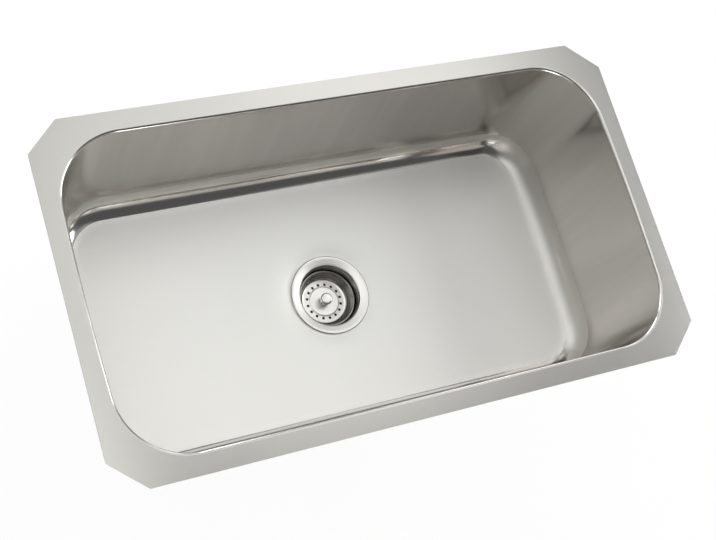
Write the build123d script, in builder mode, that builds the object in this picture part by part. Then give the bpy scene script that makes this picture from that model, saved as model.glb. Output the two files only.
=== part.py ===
"""Undermount kitchen sink: one pressed bowl under a flat flange, with its basket strainer.

Millimetres. The origin is the middle of the flange's top face, which the worktop lies on.
+X runs along the long side to the right, +Y to the back and +Z up.
"""

import os
from math import cos, radians, sin, tan

from build123d import *

os.makedirs("parts", exist_ok=True)

# ---------------------------------------------------------------- driving dimensions, in mm

# flange: a flat plate with its four corners cut off
FLANGE_LENGTH = 800.1
FLANGE_WIDTH = 457.2
FLANGE_CUT_X = 41.5
FLANGE_CUT_Y = 39.4
FLANGE_POINT_R = 3.0

# bowl: drafted walls that bend into the floor
SHEET = 1.2
MOUTH_LENGTH = 751.6
MOUTH_WIDTH = 401.6
MOUTH_CORNER_R = 86.0
END_BOW = 6.0
WALL_DRAFT = 4.0
RIM_BEND_R = 4.0
RIM_UNDER_BEVEL = 1.6
FLOOR_BEND_R = 32.5
FLOOR_Z = -214.4

# middle of the floor: a shallow dish, the recess that the drain sits in, and the hole's edge
DISH_R = 150.0
RECESS_MOUTH_R = 96.0
RECESS_MOUTH_Z = -215.1
RECESS_SEAT_R = 61.5
RECESS_SEAT_Z = -219.5
RECESS_CLEARING = 10.0
DRAIN_HOLE_R = 46.0
DRAIN_LIP = 3.5

# sound pads stuck to the outside of the bowl
PAD = 2.5
FLOOR_PAD_LENGTH = 160.0
FLOOR_PAD_WIDTH = 220.0
FLOOR_PAD_X = 238.0
LONG_WALL_PAD = 430.0
END_WALL_PAD = 190.0
WALL_PAD_HEIGHT = 112.0
WALL_PAD_Z = -92.0

# strainer body: a pressed cup hung in the drain hole by its flange
CUP_SHEET = 1.0
CUP_FLANGE_R = 57.15
CUP_FLANGE_Z = -217.2
CUP_FLAT_R = 53.5
CUP_FUNNEL_R = 46.8
CUP_FUNNEL_DROP = 1.6
CUP_FUNNEL_TURN = 2.4
CUP_R = 43.0
CUP_SEAT_Z = -262.0
CUP_CORNER = 4.2
CUP_FLOOR_FALL = 2.6
OUTLET_R = 20.8
OUTLET_WALL = 1.4
OUTLET_END_Z = -290.0
OUTLET_THREAD_TOP_Z = -276.0
THREAD_DEPTH = 0.5

# seals between the strainer and the bowl: putty above, rubber and fibre below
PUTTY_INNER_R = 51.5
PUTTY_OUTER_R = 55.6
PUTTY_FILM = 0.6
WASHER_OUTER_R = 58.5
WASHER_THICKNESS = 4.0
FRICTION_OUTER_R = 57.5
FRICTION_THICKNESS = 1.0

# locknut that pulls the strainer down
NUT_GAP = 0.5
NUT_HEIGHT = 14.0
NUT_BODY_R = 51.0
NUT_RIM_R = 55.0
NUT_RIM_HEIGHT = 3.0
NUT_LUGS = 6
NUT_LUG_REACH_R = 59.0
NUT_LUG_LENGTH = 10.0
NUT_LUG_WIDTH = 8.0

# crossbar in the outlet, which the basket's post goes through
CROSS_TOP_Z = -270.0
CROSS_THICKNESS = 2.5
CROSS_ARM = 2.8
CROSS_HUB_R = 8.6
CROSS_BORE_R = 6.0
CROSS_RING = 1.6

# tailpiece under the strainer: nominal 1-1/2 inch tube, its washer and its nut
TAIL_R = 19.05
TAIL_WALL = 0.9
TAIL_LENGTH = 101.6
TAIL_WASHER = 2.0
TAIL_FLANGE = 1.2
COUPLING_TOP_Z = -277.0
COUPLING_END_Z = -298.0
COUPLING_FLATS = 8
COUPLING_R = 28.0
COUPLING_BEVEL = 1.5
COUPLING_BORE_R = 19.95
COUPLING_PLAY = 0.4

# lift-out basket
BASKET_SHEET = 0.6
BASKET_FLOOR_Z = -250.0
BASKET_BOSS_R = 20.8
BASKET_BOSS_RISE = 1.7
BASKET_BOSS_SLOPE = 1.2
BASKET_FLAT_R = 27.0
BASKET_BEND_R = 10.0
BASKET_BEND_STEPS = 3
BASKET_FLARE = 10.0
BASKET_RIM_Z = -233.5
BASKET_LIP = 2.6
FLOOR_HOLES = 16
FLOOR_HOLE_R = 1.7
FLOOR_HOLE_PCD_R = 25.0

# knob on the basket's middle
KNOB_FOOT_R = 6.2
KNOB_FOOT = 1.2
KNOB_NECK_R = 4.3
KNOB_HEAD_R = 8.4
KNOB_HEAD_Z = -239.6
KNOB_TOP_Z = -233.2
KNOB_BEVEL = 1.4
KNOB_BORE_Z = -241.0

# post under the knob, with the stopper and the split sleeve that it carries
POST_R = 3.0
POST_HEAD_R = 4.6
POST_HEAD_TAPER = 1.4
POST_END_Z = -284.0
STOPPER_TOP_R = 19.0
STOPPER_LIP_R = 31.8
STOPPER_LIP = 2.6
STOPPER_LIP_UNDERCUT = 0.6
STOPPER_HUB = 5.0
STOPPER_FOOT_R = 14.6
SEAT_GAP = 0.3
SLEEVE_TOP_Z = -265.0
SLEEVE_END_Z = -281.0
SLEEVE_R = 5.0
SLEEVE_BULGE_R = 5.6
SLEEVE_COLLAR = 3.0
SLEEVE_SLOTS = 4
SLEEVE_SLOT = 1.2


# ---------------------------------------------------------------- shared forms


def bowl_form(grow: float) -> Part:
    """The bowl as a solid block, with every face moved outward by grow."""
    corner_x = MOUTH_LENGTH / 2 - END_BOW
    corner_y = MOUTH_WIDTH / 2
    with BuildPart() as form:
        with BuildSketch():
            with BuildLine():
                ThreePointArc((corner_x, -corner_y), (MOUTH_LENGTH / 2, 0), (corner_x, corner_y))
                Line((corner_x, corner_y), (-corner_x, corner_y))
                ThreePointArc((-corner_x, corner_y), (-MOUTH_LENGTH / 2, 0), (-corner_x, -corner_y))
                Line((-corner_x, -corner_y), (corner_x, -corner_y))
            outline = make_face()
            fillet(outline.vertices(), MOUTH_CORNER_R)
            if grow > 0:
                offset(amount=grow)
        extrude(amount=FLOOR_Z - grow, taper=WALL_DRAFT)
        fillet(form.faces().sort_by(Axis.Z)[0].edges(), FLOOR_BEND_R + grow)
    return form.part


def sheet_section(points: list[tuple[float, float]], sheet: float) -> Sketch:
    """The section of a pressed sheet: a line of (radius, height) points, thickened on its left."""
    with BuildSketch() as section:
        with BuildLine():
            Polyline(*points)
            offset(amount=sheet, side=Side.LEFT, kind=Kind.INTERSECTION)
        make_face()
    return section.sketch


def ring_section(inner: float, outer: float, top_z: float, thickness: float) -> Sketch:
    """The section of a flat ring: a washer, seal or collar."""
    with BuildSketch() as section:
        with Locations(((inner + outer) / 2, top_z - thickness / 2)):
            Rectangle(outer - inner, thickness)
    return section.sketch


# ---------------------------------------------------------------- the bowl

cavity_form = bowl_form(0)
shell_form = bowl_form(SHEET)
pad_form = bowl_form(SHEET + PAD)

half_length = FLANGE_LENGTH / 2
half_width = FLANGE_WIDTH / 2
recess_half_way = ((RECESS_MOUTH_R + RECESS_SEAT_R) / 2, (RECESS_MOUTH_Z + RECESS_SEAT_Z) / 2)
lip_start = (DRAIN_HOLE_R + DRAIN_LIP, RECESS_SEAT_Z)
lip_end = (DRAIN_HOLE_R, RECESS_SEAT_Z - DRAIN_LIP)

with BuildPart() as sink_bowl:
    with BuildSketch():
        with BuildLine():
            Polyline(
                (half_length, half_width - FLANGE_CUT_Y),
                (half_length - FLANGE_CUT_X, half_width),
                (-half_length + FLANGE_CUT_X, half_width),
                (-half_length, half_width - FLANGE_CUT_Y),
                (-half_length, -half_width + FLANGE_CUT_Y),
                (-half_length + FLANGE_CUT_X, -half_width),
                (half_length - FLANGE_CUT_X, -half_width),
                (half_length, -half_width + FLANGE_CUT_Y),
                close=True,
            )
        flange = make_face()
        fillet(flange.vertices(), FLANGE_POINT_R)
    extrude(amount=-SHEET)
    add(shell_form)
    add(cavity_form, mode=Mode.SUBTRACT)

    # the sheet turns down from the flange into the walls
    flange_top = sink_bowl.faces().sort_by(Axis.Z)[-1]
    fillet(flange_top.inner_wires()[0].edges(), RIM_BEND_R)
    flange_under = sink_bowl.faces().filter_by(Plane.XY).sort_by(Axis.Z)[-2]
    chamfer(flange_under.inner_wires()[0].edges(), RIM_UNDER_BEVEL)

    # the floor dips to the drain, curves down to a flat seat, and the hole's edge is turned down
    with BuildSketch(Plane.XY.offset(RECESS_SEAT_Z)):
        Circle(DISH_R)
    extrude(amount=RECESS_CLEARING, both=True, mode=Mode.SUBTRACT)
    with BuildSketch(Plane.XZ):
        with BuildLine():
            Line((DISH_R, FLOOR_Z), (RECESS_MOUTH_R, RECESS_MOUTH_Z))
            upper = TangentArc((RECESS_MOUTH_R, RECESS_MOUTH_Z), recess_half_way, tangent=(-1, 0))
            TangentArc(recess_half_way, (RECESS_SEAT_R, RECESS_SEAT_Z), tangent=upper % 1)
            Polyline((RECESS_SEAT_R, RECESS_SEAT_Z), lip_start, lip_end)
            offset(amount=SHEET, side=Side.LEFT, kind=Kind.INTERSECTION)
        make_face()
    revolve(axis=Axis.Z)


# ---------------------------------------------------------------- sound pads

along = (1, 0, 0)
across = (0, 1, 0)
floor_pad = (FLOOR_PAD_LENGTH, FLOOR_PAD_WIDTH)
long_wall_pad = (LONG_WALL_PAD, WALL_PAD_HEIGHT)
end_wall_pad = (END_WALL_PAD, WALL_PAD_HEIGHT)

# where each pad's outline is drawn inside the bowl, and the way it is thrown onto the outside
pad_places = {
    "sound_pad_floor_left": (Plane((-FLOOR_PAD_X, 0, WALL_PAD_Z), along, (0, 0, -1)), floor_pad),
    "sound_pad_floor_right": (Plane((FLOOR_PAD_X, 0, WALL_PAD_Z), along, (0, 0, -1)), floor_pad),
    "sound_pad_front": (Plane((0, 0, WALL_PAD_Z), along, (0, -1, 0)), long_wall_pad),
    "sound_pad_back": (Plane((0, 0, WALL_PAD_Z), along, (0, 1, 0)), long_wall_pad),
    "sound_pad_left": (Plane((0, 0, WALL_PAD_Z), across, (-1, 0, 0)), end_wall_pad),
    "sound_pad_right": (Plane((0, 0, WALL_PAD_Z), across, (1, 0, 0)), end_wall_pad),
}
sound_pads = {}
for pad_name, (pad_plane, (pad_width, pad_height)) in pad_places.items():
    with BuildPart() as sound_pad:
        with BuildSketch(pad_plane):
            Rectangle(pad_width, pad_height)
        extrude(amount=FLANGE_LENGTH / 2)
        add(pad_form, mode=Mode.INTERSECT)
        add(shell_form, mode=Mode.SUBTRACT)
    sound_pads[pad_name] = sound_pad


# ---------------------------------------------------------------- strainer body and its seals

funnel_slope = CUP_FUNNEL_DROP / (CUP_FLAT_R - CUP_FUNNEL_R)
funnel_foot_z = CUP_FLANGE_Z - (CUP_FLAT_R - CUP_R) * funnel_slope
outlet_top_z = CUP_SEAT_Z - CUP_FLOOR_FALL
seat_slope = CUP_FLOOR_FALL / (CUP_R - OUTLET_R)

with BuildPart() as strainer_body:
    with BuildSketch(Plane.XZ):
        add(sheet_section(
            [
                (CUP_FLANGE_R, CUP_FLANGE_Z),
                (CUP_FLAT_R, CUP_FLANGE_Z),
                (CUP_R + CUP_FUNNEL_TURN, funnel_foot_z + CUP_FUNNEL_TURN * funnel_slope),
                (CUP_R, funnel_foot_z - CUP_FUNNEL_TURN),
                (CUP_R, CUP_SEAT_Z + CUP_CORNER),
                (CUP_R - CUP_CORNER, CUP_SEAT_Z - CUP_CORNER * seat_slope),
                (OUTLET_R, outlet_top_z),
                (OUTLET_R, OUTLET_END_Z),
            ],
            CUP_SHEET,
        ))
        # a thicker threaded end for the coupling nut
        with Locations((OUTLET_R + OUTLET_WALL / 2, (OUTLET_THREAD_TOP_Z + OUTLET_END_Z) / 2)):
            Rectangle(OUTLET_WALL, OUTLET_THREAD_TOP_Z - OUTLET_END_Z)
    revolve(axis=Axis.Z)

putty_top_z = CUP_FLANGE_Z - CUP_SHEET - PUTTY_FILM
seat_under_z = RECESS_SEAT_Z - SHEET
friction_top_z = seat_under_z - WASHER_THICKNESS
nut_top_z = friction_top_z - FRICTION_THICKNESS
nut_bore_r = CUP_R + CUP_SHEET + THREAD_DEPTH + NUT_GAP
washer_inner_r = DRAIN_HOLE_R + DRAIN_LIP + SHEET

with BuildPart() as putty_ring:
    with BuildSketch(Plane.XZ):
        add(ring_section(PUTTY_INNER_R, PUTTY_OUTER_R, putty_top_z, putty_top_z - RECESS_SEAT_Z))
    revolve(axis=Axis.Z)

with BuildPart() as rubber_washer:
    with BuildSketch(Plane.XZ):
        add(ring_section(washer_inner_r, WASHER_OUTER_R, seat_under_z, WASHER_THICKNESS))
    revolve(axis=Axis.Z)

with BuildPart() as friction_ring:
    with BuildSketch(Plane.XZ):
        add(ring_section(nut_bore_r, FRICTION_OUTER_R, friction_top_z, FRICTION_THICKNESS))
    revolve(axis=Axis.Z)

with BuildPart() as locknut:
    with BuildSketch(Plane.XZ):
        add(ring_section(nut_bore_r, NUT_BODY_R, nut_top_z, NUT_HEIGHT))
        add(ring_section(nut_bore_r, NUT_RIM_R, nut_top_z, NUT_RIM_HEIGHT))
    revolve(axis=Axis.Z)
    with BuildSketch(Plane.XY.offset(nut_top_z)):
        with PolarLocations(NUT_LUG_REACH_R - NUT_LUG_LENGTH / 2, NUT_LUGS):
            Rectangle(NUT_LUG_LENGTH, NUT_LUG_WIDTH)
    extrude(amount=-NUT_HEIGHT)

with BuildPart() as outlet_crossbar:
    with BuildSketch(Plane.XY.offset(CROSS_TOP_Z)):
        Circle(OUTLET_R)
        Circle(OUTLET_R - CROSS_RING, mode=Mode.SUBTRACT)
        Rectangle(2 * OUTLET_R - CROSS_RING, CROSS_ARM)
        Rectangle(CROSS_ARM, 2 * OUTLET_R - CROSS_RING)
        Circle(CROSS_HUB_R)
        Circle(CROSS_BORE_R, mode=Mode.SUBTRACT)
    extrude(amount=-CROSS_THICKNESS)


# ---------------------------------------------------------------- tailpiece and its nut

tail_flange_r = OUTLET_R + OUTLET_WALL
tail_top_z = OUTLET_END_Z - TAIL_WASHER
tail_flange_under_z = tail_top_z - TAIL_FLANGE
thread_bore_r = tail_flange_r + THREAD_DEPTH + COUPLING_PLAY

with BuildPart() as outlet_washer:
    with BuildSketch(Plane.XZ):
        add(ring_section(TAIL_R - TAIL_WALL, tail_flange_r, OUTLET_END_Z, TAIL_WASHER))
    revolve(axis=Axis.Z)

with BuildPart() as tailpiece:
    with BuildSketch(Plane.XZ):
        add(ring_section(TAIL_R - TAIL_WALL, TAIL_R, tail_top_z, TAIL_LENGTH))
        add(ring_section(TAIL_R - TAIL_WALL, tail_flange_r, tail_top_z, TAIL_FLANGE))
    revolve(axis=Axis.Z)

with BuildPart() as coupling_nut:
    with BuildSketch(Plane.XY.offset(COUPLING_TOP_Z)):
        RegularPolygon(COUPLING_R, COUPLING_FLATS, major_radius=False)
    extrude(amount=COUPLING_END_Z - COUPLING_TOP_Z)
    chamfer(coupling_nut.faces().filter_by(Plane.XY).edges(), COUPLING_BEVEL)
    with BuildSketch(Plane.XZ):
        add(ring_section(0, thread_bore_r, COUPLING_TOP_Z, COUPLING_TOP_Z - tail_flange_under_z))
        add(ring_section(0, COUPLING_BORE_R, tail_flange_under_z, tail_flange_under_z - COUPLING_END_Z))
    revolve(axis=Axis.Z, mode=Mode.SUBTRACT)


# ---------------------------------------------------------------- lift-out basket

boss_z = BASKET_FLOOR_Z + BASKET_BOSS_RISE
bend_step = radians(90 - BASKET_FLARE) / BASKET_BEND_STEPS
bend_angles = [bend_step * step for step in range(BASKET_BEND_STEPS, -1, -1)]
bend_points = [
    (BASKET_FLAT_R + BASKET_BEND_R * sin(angle), BASKET_FLOOR_Z + BASKET_BEND_R * (1 - cos(angle)))
    for angle in bend_angles
]
bend_top_r, bend_top_z = bend_points[0]
basket_rim_r = bend_top_r + (BASKET_RIM_Z - bend_top_z) * tan(radians(BASKET_FLARE))
lip_outer_r = basket_rim_r + BASKET_LIP

with BuildPart() as basket_bowl:
    with BuildSketch(Plane.XZ):
        add(sheet_section(
            [
                (lip_outer_r, BASKET_RIM_Z),
                (basket_rim_r, BASKET_RIM_Z),
                *bend_points,
                (BASKET_BOSS_R + BASKET_BOSS_SLOPE, BASKET_FLOOR_Z),
                (BASKET_BOSS_R, boss_z),
                (POST_R, boss_z),
            ],
            BASKET_SHEET,
        ))
    revolve(axis=Axis.Z)
    with BuildSketch(Plane.XY.offset(BASKET_FLOOR_Z)):
        with PolarLocations(FLOOR_HOLE_PCD_R, FLOOR_HOLES):
            Circle(FLOOR_HOLE_R)
    extrude(amount=2 * BASKET_SHEET, both=True, mode=Mode.SUBTRACT)

with BuildPart() as basket_knob:
    with BuildSketch(Plane.XZ):
        with BuildLine():
            Polyline(
                (POST_R, boss_z),
                (KNOB_FOOT_R, boss_z),
                (KNOB_FOOT_R, boss_z + KNOB_FOOT),
                (KNOB_NECK_R, boss_z + KNOB_FOOT + KNOB_FOOT_R - KNOB_NECK_R),
                (KNOB_NECK_R, KNOB_HEAD_Z),
                (KNOB_HEAD_R, KNOB_HEAD_Z),
                (KNOB_HEAD_R, KNOB_TOP_Z - KNOB_BEVEL),
                (KNOB_HEAD_R - KNOB_BEVEL, KNOB_TOP_Z),
                (0, KNOB_TOP_Z),
                (0, KNOB_BORE_Z),
                (POST_R, KNOB_BORE_Z),
                close=True,
            )
        make_face()
    revolve(axis=Axis.Z)

with BuildPart() as basket_post:
    with BuildSketch(Plane.XZ):
        with BuildLine():
            Polyline(
                (0, KNOB_BORE_Z),
                (POST_R, KNOB_BORE_Z),
                (POST_R, SLEEVE_END_Z),
                (POST_HEAD_R, SLEEVE_END_Z),
                (POST_HEAD_R, SLEEVE_END_Z - POST_HEAD_TAPER),
                (POST_R, POST_END_Z),
                (0, POST_END_Z),
                close=True,
            )
        make_face()
    revolve(axis=Axis.Z)

stopper_foot_r = STOPPER_LIP_R - STOPPER_LIP_UNDERCUT
stopper_foot_z = CUP_SEAT_Z - (CUP_R - stopper_foot_r) * seat_slope + SEAT_GAP
stopper_top_z = BASKET_FLOOR_Z - BASKET_SHEET

with BuildPart() as stopper:
    with BuildSketch(Plane.XZ):
        with BuildLine():
            Polyline(
                (POST_R, stopper_top_z),
                (STOPPER_TOP_R, stopper_top_z),
                (STOPPER_LIP_R, stopper_foot_z + STOPPER_LIP),
                (stopper_foot_r, stopper_foot_z),
                (stopper_foot_r - STOPPER_LIP, stopper_foot_z),
                (STOPPER_FOOT_R, stopper_top_z - STOPPER_HUB),
                (POST_R, stopper_top_z - STOPPER_HUB),
                close=True,
            )
        make_face()
    revolve(axis=Axis.Z)

sleeve_middle_z = (SLEEVE_TOP_Z + SLEEVE_END_Z) / 2

with BuildPart() as detent_sleeve:
    with BuildSketch(Plane.XZ):
        with BuildLine():
            Polyline(
                (SLEEVE_R, SLEEVE_TOP_Z),
                (SLEEVE_BULGE_R, sleeve_middle_z),
                (SLEEVE_R, SLEEVE_END_Z),
                (POST_R, SLEEVE_END_Z),
                (POST_R, SLEEVE_TOP_Z),
                close=True,
            )
        make_face()
    revolve(axis=Axis.Z)
    with BuildSketch(Plane.XY.offset(SLEEVE_TOP_Z - SLEEVE_COLLAR)):
        with PolarLocations(SLEEVE_R, SLEEVE_SLOTS, start_angle=45):
            Rectangle(2 * (SLEEVE_R - POST_R), SLEEVE_SLOT)
    extrude(amount=SLEEVE_END_Z - SLEEVE_TOP_Z, mode=Mode.SUBTRACT)


# ---------------------------------------------------------------- hand over every piece

pieces = {
    "sink_bowl": sink_bowl,
    **sound_pads,
    "strainer_body": strainer_body,
    "putty_ring": putty_ring,
    "rubber_washer": rubber_washer,
    "friction_ring": friction_ring,
    "locknut": locknut,
    "outlet_crossbar": outlet_crossbar,
    "outlet_washer": outlet_washer,
    "tailpiece": tailpiece,
    "coupling_nut": coupling_nut,
    "basket_bowl": basket_bowl,
    "basket_knob": basket_knob,
    "basket_post": basket_post,
    "stopper": stopper,
    "detent_sleeve": detent_sleeve,
}
for piece_name, piece in pieces.items():
    piece.part.label = piece_name
    export_step(piece.part, f"parts/{piece_name}.step")
    print(piece_name, len(piece.solids()), round(piece.part.volume / 1000, 2), "cm3")
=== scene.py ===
"""The look of an undermount kitchen sink: pressed steel bowl, sound pads and basket strainer.

Metres, in the part's own frame: the origin is the middle of the flange's top face, +X runs to
the right along the long side, +Y to the back and +Z up. Sizes in the classes are millimetres.
"""

import logging
import math
from dataclasses import dataclass
from enum import Enum
from typing import Optional, Sequence

import bmesh
import bpy
from mathutils import Euler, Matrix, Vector


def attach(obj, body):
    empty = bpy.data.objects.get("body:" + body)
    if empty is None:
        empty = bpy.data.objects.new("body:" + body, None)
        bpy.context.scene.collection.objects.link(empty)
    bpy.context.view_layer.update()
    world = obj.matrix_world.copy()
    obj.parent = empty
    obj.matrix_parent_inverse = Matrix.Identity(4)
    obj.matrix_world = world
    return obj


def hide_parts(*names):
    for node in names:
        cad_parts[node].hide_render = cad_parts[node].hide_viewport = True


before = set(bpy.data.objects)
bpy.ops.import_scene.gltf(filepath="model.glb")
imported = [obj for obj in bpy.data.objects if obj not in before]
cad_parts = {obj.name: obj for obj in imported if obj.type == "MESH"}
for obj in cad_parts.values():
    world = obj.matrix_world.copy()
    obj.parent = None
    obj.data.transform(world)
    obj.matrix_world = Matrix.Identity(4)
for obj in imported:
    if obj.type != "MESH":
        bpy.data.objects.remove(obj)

MM = 0.001
NOISE_LOW, NOISE_HIGH = 0.3, 0.7  # a noise stays mostly between these
HOLD = 0.6  # mm; a near row of points beside a bend keeps the flat next to it flat
TINY = 1e-6  # below this a length or an angle counts as none
LOG = logging.getLogger("sink")

Point = tuple[float, float]


# ------------------------------------------------------------------ small tools


def linear(hex_colour: str) -> tuple[float, float, float, float]:
    """Turn an sRGB hex colour into linear light.

    Args:
        hex_colour: Six hex digits, with or without a leading hash.

    Returns:
        Red, green and blue in linear light, and an alpha of 1.
    """
    digits = hex_colour.lstrip("#")
    channels = [int(digits[i : i + 2], 16) / 255 for i in (0, 2, 4)]
    light = [c / 12.92 if c <= 0.04045 else ((c + 0.055) / 1.055) ** 2.4 for c in channels]
    return light[0], light[1], light[2], 1.0


def add_node(
    tree: bpy.types.NodeTree,
    kind: str,
    settings: Optional[dict[str, object]] = None,
    inputs: Optional[dict[object, object]] = None,
) -> bpy.types.Node:
    """Add a node with its settings, its socket values and its incoming links.

    Args:
        tree: The node tree that gets the node.
        kind: The node's type name.
        settings: Attributes of the node.
        inputs: Socket name or number to a value, or to an output socket that is linked in.

    Returns:
        The new node.
    """
    node = tree.nodes.new(kind)
    for name, value in (settings or {}).items():
        setattr(node, name, value)
    for key, value in (inputs or {}).items():
        socket = node.inputs[key]
        if isinstance(value, bpy.types.NodeSocket):
            tree.links.new(value, socket)
        else:
            socket.default_value = value
    return node


def link_object(name: str, mesh: bpy.types.Mesh) -> bpy.types.Object:
    """Put a mesh in the scene as an object at the origin.

    Args:
        name: The object's name.
        mesh: Its mesh, with its place in its points.

    Returns:
        The new object.
    """
    thing = bpy.data.objects.new(name, mesh)
    bpy.context.scene.collection.objects.link(thing)
    return thing


def crisp_by_angle(mesh: bpy.types.Mesh, degrees: float = 32.0) -> None:
    """Shade a mesh smooth, and keep the edges that turn by more than an angle sharp.

    Args:
        mesh: The mesh to shade.
        degrees: The turn above which an edge stays sharp.
    """
    work = bmesh.new()
    work.from_mesh(mesh)
    limit = math.radians(degrees)
    for face in work.faces:
        face.smooth = True
    for edge in work.edges:
        edge.smooth = not (len(edge.link_faces) == 2 and edge.calc_face_angle(0.0) > limit)
    work.to_mesh(mesh)
    work.free()


def round_corners(
    points: Sequence[Point], radii: Sequence[float], closed: bool, turn_step: float = 9.0
) -> list[Point]:
    """Round the corners of a profile, and hold the flats beside each round with a near point.

    Args:
        points: Corner points as (radius, height), in millimetres.
        radii: One radius for each point; 0 keeps the corner sharp.
        closed: Whether the last point joins the first.
        turn_step: Degrees of turn for each step of a round.

    Returns:
        The points of the rounded profile.
    """
    out: list[Point] = []
    count = len(points)
    for i, (x, z) in enumerate(points):
        ends = not closed and i in (0, count - 1)
        radius = radii[i]
        if ends or radius <= 0:
            out.append((x, z))
            continue
        here = Vector((x, z))
        before = Vector(points[i - 1]) - here
        after = Vector(points[(i + 1) % count]) - here
        turn = math.pi - before.angle(after)
        if turn < 1e-4:
            out.append((x, z))
            continue
        reach = min(radius * math.tan(turn / 2), 0.49 * before.length, 0.49 * after.length)
        radius = reach / math.tan(turn / 2)
        first, last = here + before.normalized() * reach, here + after.normalized() * reach
        middle = (before.normalized() + after.normalized()).normalized()
        centre = here + middle * (radius / math.cos(turn / 2))
        start = first - centre
        side = 1.0 if start.x * (last - centre).y - start.y * (last - centre).x > 0 else -1.0
        steps = max(2, math.ceil(math.degrees(turn) / turn_step))
        hold = min(0.25, 0.3 * radius)
        if before.length - reach > 2 * hold:
            out.append(tuple(first + before.normalized() * hold))
        for step in range(steps + 1):
            angle = side * turn * step / steps
            cos, sin = math.cos(angle), math.sin(angle)
            spoke = Vector((start.x * cos - start.y * sin, start.x * sin + start.y * cos))
            out.append(tuple(centre + spoke))
        if after.length - reach > 2 * hold:
            out.append(tuple(last + after.normalized() * hold))
    return out


def sheet_profile(points: Sequence[Point], radii: Sequence[float], sheet: float) -> list[Point]:
    """The closed profile of a pressed sheet, drawn along its upper skin.

    Args:
        points: Corner points of the upper skin as (radius, height), from the outside inwards.
        radii: One bend radius for each point.
        sheet: The sheet's thickness, laid on the left of the line.

    Returns:
        The closed profile's points, upper skin first and lower skin back.
    """
    skin = [Vector(p) for p in round_corners(points, radii, closed=False)]
    under: list[Point] = []
    for i, here in enumerate(skin):
        ways = []
        if i > 0:
            ways.append((here - skin[i - 1]).normalized())
        if i < len(skin) - 1:
            ways.append((skin[i + 1] - here).normalized())
        way = sum(ways, Vector((0.0, 0.0))).normalized()
        stretch = 1.0 / max(0.5, way.dot(ways[0]))
        under.append((here.x - way.y * sheet * stretch, here.y + way.x * sheet * stretch))
    return [tuple(p) for p in skin] + under[::-1]


def lathe(
    name: str, profile: Sequence[Point], closed: bool = True, segments: int = 144
) -> bpy.types.Object:
    """Turn a profile about the drain's axis into a mesh object.

    Args:
        name: The object's name.
        profile: Points as (radius, height) in millimetres. A point on the axis becomes a pole.
        closed: Whether the profile is a loop; an open one starts and ends on the axis.
        segments: Steps round the axis.

    Returns:
        The new object, with its faces pointing outwards.
    """
    work = bmesh.new()
    rings = []
    for radius, height in profile:
        if radius < 1e-6:
            rings.append([work.verts.new((0, 0, height * MM))])
            continue
        ring = []
        for k in range(segments):
            angle = 2 * math.pi * k / segments
            place = Vector((radius * math.cos(angle), radius * math.sin(angle), height))
            ring.append(work.verts.new(place * MM))
        rings.append(ring)
    spans = list(zip(rings, rings[1:]))
    if closed:
        spans.append((rings[-1], rings[0]))
    for a, b in spans:
        for k in range(segments):
            after = (k + 1) % segments
            corners = [a[k % len(a)], a[after % len(a)], b[after % len(b)], b[k % len(b)]]
            corners = [v for i, v in enumerate(corners) if v not in corners[:i]]
            if len(corners) > 2:
                work.faces.new(corners)
    bmesh.ops.remove_doubles(work, verts=work.verts, dist=1e-7)
    bmesh.ops.recalc_face_normals(work, faces=work.faces)
    mesh = bpy.data.meshes.new(name)
    work.to_mesh(mesh)
    work.free()
    crisp_by_angle(mesh)
    return link_object(name, mesh)


def settle(piece: bpy.types.Object, modifiers: Sequence[bpy.types.Modifier]) -> None:
    """Bake the modifiers of a piece into its mesh and take them off.

    Args:
        piece: The object that carries the modifiers.
        modifiers: Its modifiers, in order.
    """
    bpy.context.view_layer.update()
    evaluated = piece.evaluated_get(bpy.context.evaluated_depsgraph_get())
    baked = bpy.data.meshes.new_from_object(evaluated)
    for modifier in list(modifiers):
        piece.modifiers.remove(modifier)
    piece.data = baked
    crisp_by_angle(baked)


def wear(piece: bpy.types.Object, *materials: bpy.types.Material) -> None:
    """Give a piece its materials and keep each face's slot.

    Args:
        piece: The object to dress.
        materials: Its materials, in slot order.
    """
    slots = piece.data.materials
    for number, material in enumerate(materials):
        if number < len(slots):
            slots[number] = material
        else:
            slots.append(material)


def hand_over(
    piece: bpy.types.Object,
    materials: Sequence[bpy.types.Material],
    body: str,
    node: Optional[str] = None,
) -> None:
    """Dress a finished piece, let it ride on its body and stand for its node.

    Args:
        piece: The finished object.
        materials: Its materials, in slot order.
        body: The body that carries it.
        node: The part's node that it stands for, if it has one.
    """
    wear(piece, *materials)
    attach(piece, body)
    if node:
        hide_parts(node)
    LOG.info("%s: %d faces", piece.name, len(piece.data.polygons))


# ------------------------------------------------------------------ finishes


class Coordinates(Enum):
    """Where a finish reads its pattern from."""

    OBJECT = "Object"
    UV = "UV"


def new_material(name: str) -> tuple[bpy.types.Material, bpy.types.NodeTree, bpy.types.Node]:
    """Start a node material.

    Args:
        name: The finish's name.

    Returns:
        The material, its tree and its Principled shader, which is linked to the output.
    """
    material = bpy.data.materials.new(name)
    material.use_nodes = True
    tree = material.node_tree
    tree.nodes.clear()
    shader = add_node(tree, "ShaderNodeBsdfPrincipled")
    output = add_node(tree, "ShaderNodeOutputMaterial")
    tree.links.new(shader.outputs["BSDF"], output.inputs["Surface"])
    return material, tree, shader


def noise(
    tree: bpy.types.NodeTree, place: bpy.types.NodeSocket, scale: float, detail: float, rough: float = 0.5
) -> bpy.types.NodeSocket:
    """Add a noise pattern.

    Args:
        tree: The material's tree.
        place: The coordinates that the pattern reads.
        scale: Its grains in each unit of those coordinates.
        detail: How many finer layers it has.
        rough: How strong the finer layers are.

    Returns:
        The pattern's value.
    """
    inputs = {"Vector": place, "Scale": scale, "Detail": detail, "Roughness": rough}
    return add_node(tree, "ShaderNodeTexNoise", inputs=inputs).outputs["Fac"]


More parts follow.
